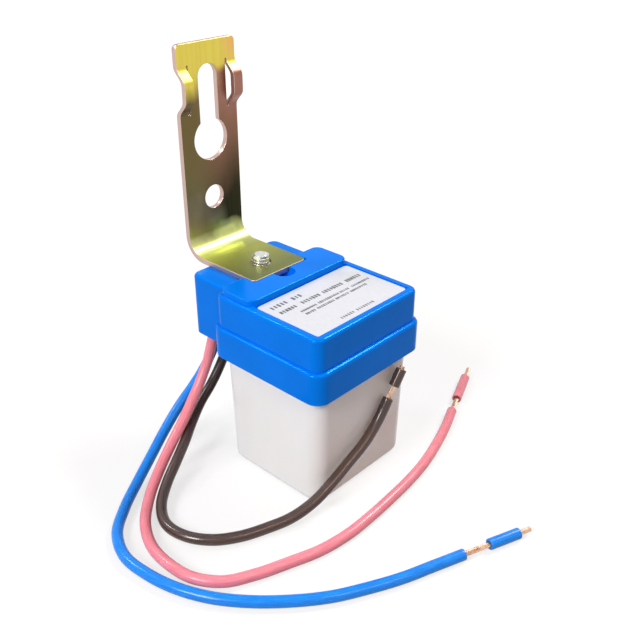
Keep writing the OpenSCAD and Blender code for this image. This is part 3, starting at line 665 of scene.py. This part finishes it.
def revolve(build, profile, sides, matrix):
    """A closed profile of (radius, height) pairs turned about local Z and put in place, with a UV map."""
    uv_layer = build.loops.layers.uv.verify()
    loops = []
    for radius, height in profile:
        loop = []
        for k in range(sides):
            angle = 2 * math.pi * k / sides
            spot = Vector((radius * math.cos(angle), radius * math.sin(angle), height))
            loop.append(build.verts.new(matrix @ spot))
        loops.append(loop)
    for index, loop in enumerate(loops):
        after = (index + 1) % len(loops)
        join_loops(build, uv_layer, loop, loops[after], (profile[index][1], profile[after][1]))
    bmesh.ops.recalc_face_normals(build, faces=build.faces)


class PHOTOCELL_OT_stage(bpy.types.Operator):
    """Builds the floor, the lamps, the room and the camera"""

    bl_idname = "photocell.stage"
    bl_label = "Stage"

    def execute(self, context):
        settings = context.scene.photocell_stage
        context.scene.view_settings.view_transform = "Standard"
        self.camera(context, settings.lens)
        self.room(context, settings.sky)
        self.floor(context)
        for name, (place, size, colour) in LAMPS.items():
            self.lamp(context, name + "_lamp", place, size, getattr(settings, name), colour)
        return {"FINISHED"}

    def camera(self, context, lens):
        """The camera at the photograph's viewing angle."""
        azimuth, elevation, roll = (math.radians(angle) for angle in CAMERA_ANGLES)
        back = Vector((math.sin(azimuth) * math.cos(elevation),
                       -math.cos(azimuth) * math.cos(elevation), math.sin(elevation)))
        level = Vector((math.cos(azimuth), math.sin(azimuth), 0))
        upright = back.cross(level)
        right = level * math.cos(roll) + upright * math.sin(roll)
        up = upright * math.cos(roll) - level * math.sin(roll)
        data = bpy.data.cameras.new("view")
        data.sensor_width = 36
        data.lens = lens
        data.clip_start = 0.01
        camera = bpy.data.objects.new("view", data)
        context.scene.collection.objects.link(camera)
        turned = Matrix((right, up, back)).transposed().to_4x4()
        camera.matrix_world = Matrix.Translation(Vector(CAMERA_EYE) * MM) @ turned
        context.scene.camera = camera

    def room(self, context, strength):
        """A white room, dimmer as a light than it looks."""
        world = bpy.data.worlds.new("white_room")
        world.use_nodes = True
        tree = world.node_tree
        seen = tree.nodes["Background"]
        light = tree.nodes.new("ShaderNodeBackground")
        for shader, level in ((seen, 1.0), (light, strength)):
            shader.inputs["Color"].default_value = opaque(WHITE)
            shader.inputs["Strength"].default_value = level
        self.part_rays(tree, light.outputs[0], seen.outputs[0], "World Output")
        context.scene.world = world

    def part_rays(self, tree, lighting, seen, output):
        """Gives an output one shader for the rays that light things and another for those that are seen."""
        mix = tree.nodes.new("ShaderNodeMixShader")
        tree.links.new(self.sight(tree), mix.inputs[0])
        tree.links.new(lighting, mix.inputs[1])
        tree.links.new(seen, mix.inputs[2])
        tree.links.new(mix.outputs[0], tree.nodes[output].inputs["Surface"])

    def sight(self, tree):
        """One where a ray is seen, straight, mirrored or through glass."""
        path = tree.nodes.new("ShaderNodeLightPath")
        total = path.outputs["Is Camera Ray"]
        for name in ("Is Glossy Ray", "Is Transmission Ray"):
            node = tree.nodes.new("ShaderNodeMath")
            node.operation = "MAXIMUM"
            tree.links.new(total, node.inputs[0])
            tree.links.new(path.outputs[name], node.inputs[1])
            total = node.outputs[0]
        return total

    def floor(self, context):
        """A wide white floor that shows the shadow."""
        half = 3.0
        drop = 0.05 * MM
        mesh = bpy.data.meshes.new("floor")
        corners = [(-half, -half, -drop), (half, -half, -drop), (half, half, -drop), (-half, half, -drop)]
        mesh.from_pydata(corners, [], [(0, 1, 2, 3)])
        floor = bpy.data.objects.new("floor", mesh)
        context.scene.collection.objects.link(floor)
        finish = Finish("floor_white")
        finish.shade(Base_Color=(0.28, 0.28, 0.28, 1), Roughness=0.8, Specular_IOR_Level=0.1)
        matt = finish.shader.outputs[0]
        distance = finish.add("ShaderNodeVectorMath", {0: finish.places()}, operation="LENGTH")
        brightness = finish.spread(distance.outputs["Value"], 0.2, 0.8, 0.71, 1.0)
        lift = finish.add("ShaderNodeEmission", {"Color": opaque(WHITE), "Strength": brightness})
        both = finish.add("ShaderNodeAddShader", {0: matt, 1: lift.outputs[0]})
        self.part_rays(finish.tree, matt, both.outputs[0], "Material Output")
        mesh.materials.append(finish.material)

    def lamp(self, context, name, place, size, power, colour):
        """A soft lamp of a width and a height that points at the object."""
        data = bpy.data.lights.new(name, "AREA")
        data.shape = "RECTANGLE"
        data.size, data.size_y = size
        data.energy = power
        data.color = colour
        lamp = bpy.data.objects.new(name, data)
        context.scene.collection.objects.link(lamp)
        lamp.location = place
        aim = Vector(LAMP_AIM) * MM
        lamp.rotation_euler = (aim - Vector(place)).to_track_quat("-Z", "Y").to_euler()


class PHOTOCELL_OT_stripped_ends(bpy.types.Operator):
    """Builds the copper cores and the sleeves left on the stripped ends"""

    bl_idname = "photocell.stripped_ends"
    bl_label = "Stripped ends"

    def execute(self, context):
        settings = context.scene.photocell_leads
        copper = bare_copper()
        for colour, route in ROUTES.items():
            path = smooth_path(route, PATH_STEP)
            bare, sleeve, tip = (length * MM for length in STRIPPED[colour])
            place = end_matrix(path)
            self.core(colour, settings, place, bare + sleeve + tip, path[0], copper)
            self.sleeve(colour, settings, place, bare, sleeve)
        return {"FINISHED"}

    def core(self, colour, settings, place, length, start, copper):
        """The twisted strands of one end and the tail soldered into the board at the other."""
        hidden = 1 * MM
        bend = 0.7 * MM
        cut = 0.2 * MM
        mesh = strand_mesh(colour + "_strands", settings.core, length + hidden, copper)
        mesh.transform(place @ Matrix.Translation((0, 0, -hidden)))
        build = bmesh.new()
        build.from_mesh(mesh)
        board_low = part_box("circuit_board")[0].z
        corner = start + Vector((TAIL_LENGTH, 0, 0))
        tail = [start, corner - Vector((bend, 0, 0)), corner - Vector((cut, 0, cut)),
                corner - Vector((0, 0, bend)), Vector((corner.x, corner.y, board_low))]
        rings = [(spot, ahead, side, settings.core / 2, 0) for spot, ahead, side in path_frames(tail)]
        sweep(build, rings, settings.sides)
        build.to_mesh(mesh)
        build.free()
        new_piece(colour + "_copper", mesh, copper, "copper", colour + "_core")

    def sleeve(self, colour, settings, place, start, length):
        """A short slug of insulation with rounded cut edges."""
        outer = settings.diameter / 2
        bore = settings.core / 2 + 0.05 * MM
        edge = 0.15 * MM
        inset = edge * MIDDLE_RING
        end = start + length
        profile = [(bore, start), (outer - edge, start), (outer - inset, start + inset),
                   (outer, start + edge), (outer, end - edge), (outer - inset, end - inset),
                   (outer - edge, end), (bore, end)]
        mesh = bpy.data.meshes.new(colour + "_slug")
        build = bmesh.new()
        revolve(build, profile, settings.sides, place)
        build.to_mesh(mesh)
        build.free()
        vinyl = lead_vinyl(colour + "_vinyl", getattr(settings, colour), GLOSS[colour])
        piece = new_piece(colour + "_slug", mesh, vinyl, "lead_" + colour, colour + "_sleeve")
        shade_flats(piece)


class PHOTOCELL_OT_leads(bpy.types.Operator):
    """Builds the insulation of the three leads"""

    bl_idname = "photocell.leads"
    bl_label = "Leads"

    def execute(self, context):
        settings = context.scene.photocell_leads
        for colour, route in ROUTES.items():
            path = smooth_path(route, PATH_STEP)
            mesh = bpy.data.meshes.new(colour + "_insulation")
            build = bmesh.new()
            sweep(build, lead_rings(path, settings.diameter / 2, settings.core / 2), settings.sides)
            build.to_mesh(mesh)
            build.free()
            vinyl = lead_vinyl(colour + "_vinyl", getattr(settings, colour), GLOSS[colour])
            piece = new_piece(colour + "_insulation", mesh, vinyl, "lead_" + colour, colour + "_lead")
        return {"FINISHED"}


class PHOTOCELL_OT_cap(bpy.types.Operator):
    """Builds the moulded cap"""

    bl_idname = "photocell.cap"
    bl_label = "Cap"

    def execute(self, context):
        settings = context.scene.photocell_cap
        mesh = merged_copy("top_cap", "moulded_cap")
        self.weigh_edges(mesh)
        piece = new_piece("moulded_cap", mesh, cap_plastic(settings.colour), "cap_blue", "top_cap")
        soften_edges(piece, settings.edge, 4)
        return {"FINISHED"}

    def weigh_edges(self, mesh):
        """Gives the rim's inner edge the full rounding, and the other sharp edges half of it."""
        rim_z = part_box("bracket")[0].z
        low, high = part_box("rating_label")
        margin = 1 * MM
        level = 0.1 * MM
        build = bmesh.new()
        build.from_mesh(mesh)
        weights = build.edges.layers.float.new("bevel_weight_edge")
        for edge in build.edges:
            if len(edge.link_faces) == 2 and edge.calc_face_angle() > math.radians(SHARP_ANGLE):
                middle = (edge.verts[0].co + edge.verts[1].co) / 2
                inside = low.x - margin < middle.x < high.x + margin and abs(middle.y) < high.y + margin
                edge[weights] = 1.0 if inside and abs(middle.z - rim_z) < level else 0.5
        build.to_mesh(mesh)
        build.free()


class PHOTOCELL_OT_cup(bpy.types.Operator):
    """Builds the milky cup"""

    bl_idname = "photocell.cup"
    bl_label = "Cup"

    def execute(self, context):
        settings = context.scene.photocell_cup
        # The wide angle also joins a band at the top of the cup that is too thin to round
        mesh = merged_copy("light_cup", "milky_cup", 2.5)
        piece = new_piece("milky_cup", mesh, milky_plastic(settings.colour), "cup_milky", "light_cup")
        soften_edges(piece, settings.edge, 2, 50)
        return {"FINISHED"}


def mark_cut_edges(mesh):
    """Marks the faces that shears and punches cut, for the finish to tell from the rolled faces."""
    marks = mesh.attributes.new("cut_edge", "FLOAT", "FACE")
    for face in mesh.polygons:
        normal = face.normal
        on_leg = face.center.z > BEND_END_Z
        on_foot = face.center.x > BEND_END_X
        flat = abs(normal.x) if on_leg else abs(normal.z) if on_foot else math.hypot(normal.x, normal.z)
        marks.data[face.index].value = 1.0 if flat < 0.5 else 0.0


class PHOTOCELL_OT_bracket(bpy.types.Operator):
    """Builds the bent bracket"""

    bl_idname = "photocell.bracket"
    bl_label = "Bracket"

    def execute(self, context):
        settings = context.scene.photocell_bracket
        mesh = merged_copy("bracket", "bent_bracket")
        mark_cut_edges(mesh)
        finish = yellow_zinc(settings.yellow, settings.mauve, settings.cut)
        piece = new_piece("bent_bracket", mesh, finish, "zinc_yellow", "bracket")
        soften_edges(piece, settings.edge, 2, SHARP_ANGLE)
        return {"FINISHED"}


def thread_mesh(pitch, depth, crest, length, material):
    """One turned ridge that winds up a shank, from z = 0, and runs out at its top."""
    shape = NodeShape("screw_thread", material)
    step = shape.number("Pitch", pitch)
    rise = shape.number("Depth", depth)
    reach = shape.number("Length", length)
    root = shape.math("SUBTRACT", shape.number("Crest radius", crest), rise)
    spiral = shape.add("GeometryNodeCurveSpiral", {
        "Resolution": 40, "Rotations": shape.math("DIVIDE", reach, step), "Start Radius": root,
        "End Radius": root, "Height": reach})
    along = shape.add("GeometryNodeSplineParameter", {}).outputs["Factor"]
    run_out = shape.add("ShaderNodeMapRange", {0: along, 1: 0.96, 2: 1.0, 3: 1.0, 4: 0.8}).outputs[0]
    place = shape.add("GeometryNodeInputPosition", {}).outputs[0]
    drawn_in = shape.add("ShaderNodeVectorMath", {0: place, 1: shape.triple(run_out, run_out, 1.0)},
                         operation="MULTIPLY").outputs[0]
    line = shape.add("GeometryNodeSetPosition", {"Geometry": spiral.outputs[0], "Position": drawn_in})
    level = shape.add("GeometryNodeSetCurveNormal", {0: line.outputs[0]}, mode="Z_UP")
    corners = {}
    for number, (out, up) in enumerate(((-0.25, -0.45), (1.0, -0.08), (1.0, 0.08), (-0.25, 0.45))):
        corners["Point " + str(number + 1)] = shape.triple(
            shape.math("MULTIPLY", rise, out), shape.math("MULTIPLY", step, up))
    profile = shape.add("GeometryNodeCurvePrimitiveQuadrilateral", corners, mode="POINTS")
    skin = shape.add("GeometryNodeCurveToMesh", {
        "Curve": level.outputs[0], "Profile Curve": profile.outputs[0], "Fill Caps": True})
    flat = shape.add("GeometryNodeSetShadeSmooth", {0: skin.outputs[0], "Shade Smooth": False})
    return shape.mesh(flat.outputs[0])


class PHOTOCELL_OT_screw(bpy.types.Operator):
    """Builds the screw with its thread"""

    bl_idname = "photocell.screw"
    bl_label = "Screw"

    def execute(self, context):
        settings = context.scene.photocell_bracket
        zinc = bright_zinc()
        low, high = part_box("bracket_screw")
        axis_x = (low.x + high.x) / 2
        mesh = merged_copy("bracket_screw", "threaded_screw")
        pitch = settings.thread_pitch
        foot_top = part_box("bracket")[0].z + SHEET
        crest, head_top = self.narrow(mesh, axis_x, foot_top, settings.thread_depth)
        # The ridge starts half a pitch above the head and ends a quarter of one below the tip
        ridge = thread_mesh(pitch, settings.thread_depth, crest, high.z - head_top - pitch * 0.75, zinc)
        ridge.transform(Matrix.Translation((axis_x, 0, head_top + pitch / 2)))
        build = bmesh.new()
        build.from_mesh(ridge)
        bmesh.ops.recalc_face_normals(build, faces=build.faces)
        build.from_mesh(mesh)
        build.to_mesh(mesh)
        build.free()
        piece = new_piece("threaded_screw", mesh, zinc, "screw_zinc", "bracket_screw")
        soften_edges(piece, 0.06 * MM, 2, SHARP_ANGLE)
        return {"FINISHED"}

    def narrow(self, mesh, axis_x, foot_top, depth):
        """Draws the shank in to the thread's root above the foot, and gives its crest and lower end."""
        drawn_from = foot_top - 0.35 * MM
        half_slope = 0.05 * MM
        build = bmesh.new()
        build.from_mesh(mesh)
        for height in (drawn_from - half_slope, drawn_from + half_slope):
            everything = build.verts[:] + build.edges[:] + build.faces[:]
            bmesh.ops.bisect_plane(build, geom=everything, dist=DOUBLES, plane_co=(0, 0, height),
                                   plane_no=(0, 0, 1))
        build.to_mesh(mesh)
        build.free()
        radii = [math.hypot(vertex.co.x - axis_x, vertex.co.y) for vertex in mesh.vertices]
        head = max(radii)
        head_top = max(vertex.co.z for vertex, radius in zip(mesh.vertices, radii) if radius > head * 0.98)
        crest = max(radius for vertex, radius in zip(mesh.vertices, radii) if vertex.co.z > head_top + MM)
        scale = (crest - depth) / crest
        for vertex, radius in zip(mesh.vertices, radii):
            if vertex.co.z > drawn_from and radius < crest * 1.02:
                vertex.co.x = axis_x + (vertex.co.x - axis_x) * scale
                vertex.co.y *= scale
        return crest, head_top


# Rows of print bars: place along X, bar height, bar width, gap and seed, then where each word
# starts and ends along Y, in millimetres
PRINT_ROWS = (
    (8.0, 1.5, 0.66, 0.42, 3, ((-13.8, -8.4), (-6.9, -3.6))),
    (11.0, 1.35, 0.66, 0.24, 8, ((-13.8, -8.2), (-6.8, -1.0), (0.4, 7.4), (8.8, 13.8))),
    (13.9, 0.85, 0.5, 0.16, 12, ((-10, -5), (-4.2, 2.6), (3.4, 6.8), (7.6, 13.8))),
    (15.5, 0.85, 0.5, 0.16, 17, ((-10, -7), (-6.2, -0.6), (0.2, 4.6), (5.4, 11.4))),
    (22.6, 0.9, 0.52, 0.26, 21, ((-6, -1.6), (-0.6, 5))),
)


def print_mesh(height, base_z, material):
    """Rows of plain bars in place of small print, with gaps as between words."""
    shape = NodeShape("print_bars", material)
    thick = shape.number("Ink height", height)
    rows = []
    for place, tall, wide, gap, seed, words in PRINT_ROWS:
        bar = shape.add("GeometryNodeMeshCube", {"Size": shape.triple(tall * MM, wide * MM, thick)})
        for number, (first, last) in enumerate(words):
            spots = shape.add("GeometryNodeMeshLine", {
                "Count": round((last - first + gap) / (wide + gap)),
                "Start Location": (place * MM, (first + wide / 2) * MM, base_z),
                "Offset": (0, (wide + gap) * MM, 0)})
            scale = shape.add("FunctionNodeRandomValue", {
                0: (0.8, 0.65, 1), 1: (1, 1.15, 1), "Seed": seed + number}, data_type="FLOAT_VECTOR")
            bars = shape.add("GeometryNodeInstanceOnPoints", {
                "Points": spots.outputs[0], "Instance": bar.outputs[0], "Scale": scale.outputs[0]})
            rows.append(bars.outputs[0])
    return shape.mesh(shape.join(*rows))


class PHOTOCELL_OT_label(bpy.types.Operator):
    """Builds the label and its plain print"""

    bl_idname = "photocell.label"
    bl_label = "Label"

    def execute(self, context):
        settings = context.scene.photocell_label
        piece = new_piece("plain_label", merged_copy("rating_label", "plain_label"),
                          label_film(settings.paper), "label_white", "rating_label")
        soften_edges(piece, 0.05 * MM, 2, SHARP_ANGLE)
        ink = print_ink(settings.ink)
        face_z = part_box("rating_label")[1].z
        new_piece("print_bars", print_mesh(settings.ink_height, face_z, ink), ink, "label_white")
        return {"FINISHED"}


# Screen colour and roughness of the pieces inside the housing
INSIDES = {
    "circuit_board": ((176, 134, 74), 0.5),
    "relay": ((44, 46, 50), 0.4),
    "film_capacitor": ((214, 158, 34), 0.32),
    "filter_capacitor": ((36, 54, 94), 0.3),
    "surge_varistor": ((48, 112, 178), 0.34),
    "rectifier_diodes": ((40, 40, 44), 0.38),
    "zener_diode": ((200, 116, 58), 0.2),
    "resistors": ((214, 194, 156), 0.4),
    "transistors": ((34, 34, 38), 0.42),
    "light_sensor": ((200, 130, 62), 0.36),
}


class PHOTOCELL_OT_insides(bpy.types.Operator):
    """Finishes the board and the components inside the housing"""

    bl_idname = "photocell.insides"
    bl_label = "Insides"

    def execute(self, context):
        for node, (colour, roughness) in INSIDES.items():
            finish = component_finish(node + "_finish", from_screen(*colour), roughness)
            NODES[node].data.materials.clear()
            NODES[node].data.materials.append(finish)
        return {"FINISHED"}


OPERATORS = (
    PHOTOCELL_OT_stage, PHOTOCELL_OT_stripped_ends, PHOTOCELL_OT_leads, PHOTOCELL_OT_cap,
    PHOTOCELL_OT_cup, PHOTOCELL_OT_bracket, PHOTOCELL_OT_screw, PHOTOCELL_OT_label,
    PHOTOCELL_OT_insides,
)
SETTINGS = {
    "photocell_cap": CapSettings,
    "photocell_cup": CupSettings,
    "photocell_bracket": BracketSettings,
    "photocell_label": LabelSettings,
    "photocell_leads": LeadSettings,
    "photocell_stage": StageSettings,
}


class PHOTOCELL_PT_pieces(bpy.types.Panel):
    """Lists the pieces and their settings"""

    bl_idname = "PHOTOCELL_PT_pieces"
    bl_label = "Photocell switch"
    bl_space_type = "VIEW_3D"
    bl_region_type = "UI"
    bl_category = "Photocell"

    def draw(self, context):
        layout = self.layout
        for operator in OPERATORS:
            layout.operator(operator.bl_idname)
        for name, group in SETTINGS.items():
            box = layout.box()
            for field in group.__annotations__:
                box.prop(getattr(context.scene, name), field)


def register():
    """Adds the settings, the operators and the panel to Blender."""
    for name, group in SETTINGS.items():
        bpy.utils.register_class(group)
        setattr(bpy.types.Scene, name, PointerProperty(type=group))
    for operator in OPERATORS:
        bpy.utils.register_class(operator)
    bpy.utils.register_class(PHOTOCELL_PT_pieces)


def unregister():
    """Takes them out again."""
    bpy.utils.unregister_class(PHOTOCELL_PT_pieces)
    for operator in reversed(OPERATORS):
        bpy.utils.unregister_class(operator)
    for name, group in SETTINGS.items():
        delattr(bpy.types.Scene, name)
        bpy.utils.unregister_class(group)


def main():
    """Builds every piece in order."""
    register()
    bpy.ops.photocell.stage()
    bpy.ops.photocell.stripped_ends()
    bpy.ops.photocell.leads()
    bpy.ops.photocell.cap()
    bpy.ops.photocell.cup()
    bpy.ops.photocell.bracket()
    bpy.ops.photocell.screw()
    bpy.ops.photocell.label()
    bpy.ops.photocell.insides()


if __name__ == "__main__":
    main()
